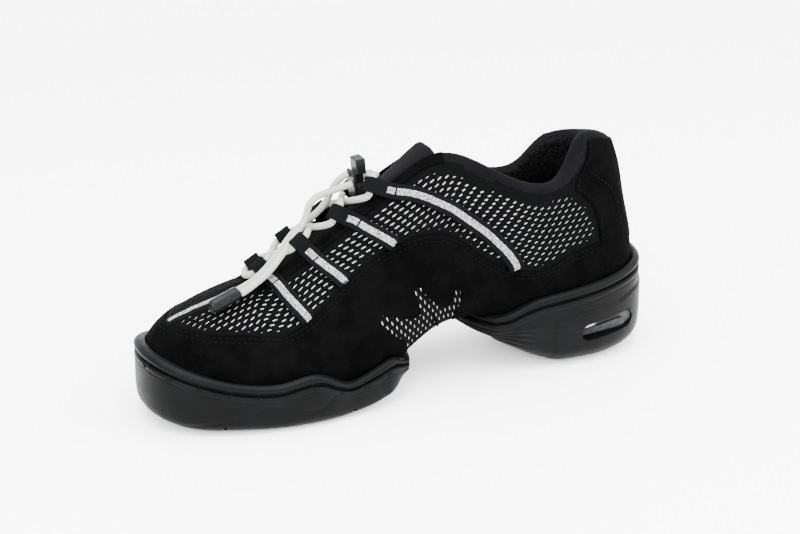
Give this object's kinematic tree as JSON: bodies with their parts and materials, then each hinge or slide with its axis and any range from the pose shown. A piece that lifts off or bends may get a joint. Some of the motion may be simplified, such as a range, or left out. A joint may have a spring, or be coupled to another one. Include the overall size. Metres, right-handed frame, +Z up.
{
  "type": "dance shoe",
  "caption": "Low-cut split-sole dance sneaker: mesh and suede upper, padded collar and tongue, webbing loops with an elastic lace and cord lock, separate heel and forefoot soles.",
  "frame": {"origin": "middle of the shoe's foot on the floor, under its bounding box and without its free lace ends", "axes": "+X towards the toe, +Y towards the wearer's left, +Z up from the floor"},
  "size_m": [0.2664, 0.0932, 0.1181],
  "materials": {
    "upper_cloth": "black knitted mesh and suede",
    "tongue_foam": "matte soft padding",
    "insole_cloth": "matte cloth",
    "sole_rubber": "satin moulded rubber",
    "window_pale": "smooth pale grey",
    "webbing": "woven band with a reflective strip",
    "lace_elastic": "round braided elastic",
    "lock_plastic": "satin black plastic"
  },
  "bodies": {
    "shoe": {"upper": "upper_cloth", "tongue": "tongue_foam", "insole": "insole_cloth", "forefoot_sole": "sole_rubber", "heel_sole": "sole_rubber", "heel_window_plate_left": "window_pale", "heel_window_plate_right": "window_pale", "lace_loop_left_1": "webbing", "lace_loop_left_2": "webbing", "lace_loop_left_3": "webbing", "lace_loop_left_4": "webbing", "lace_loop_right_1": "webbing", "lace_loop_right_2": "webbing", "lace_loop_right_3": "webbing", "lace_loop_right_4": "webbing", "lace_crossings": "lace_elastic", "lace_end_left": "lace_elastic", "lace_end_right": "lace_elastic", "cord_end": "lock_plastic", "cord_lock_body": "lock_plastic"},
    "lock_button": {"cord_lock_button": "lock_plastic"}
  },
  "joints": [
    {"name": "cord_lock_press", "type": "slide", "parent": "shoe", "child": "lock_button", "axis": [0.0946, 0, 0.9955], "range_m": [-0.0035, 0], "stiffness_N_per_m": 600, "springref_m": 0.002}
  ]
}
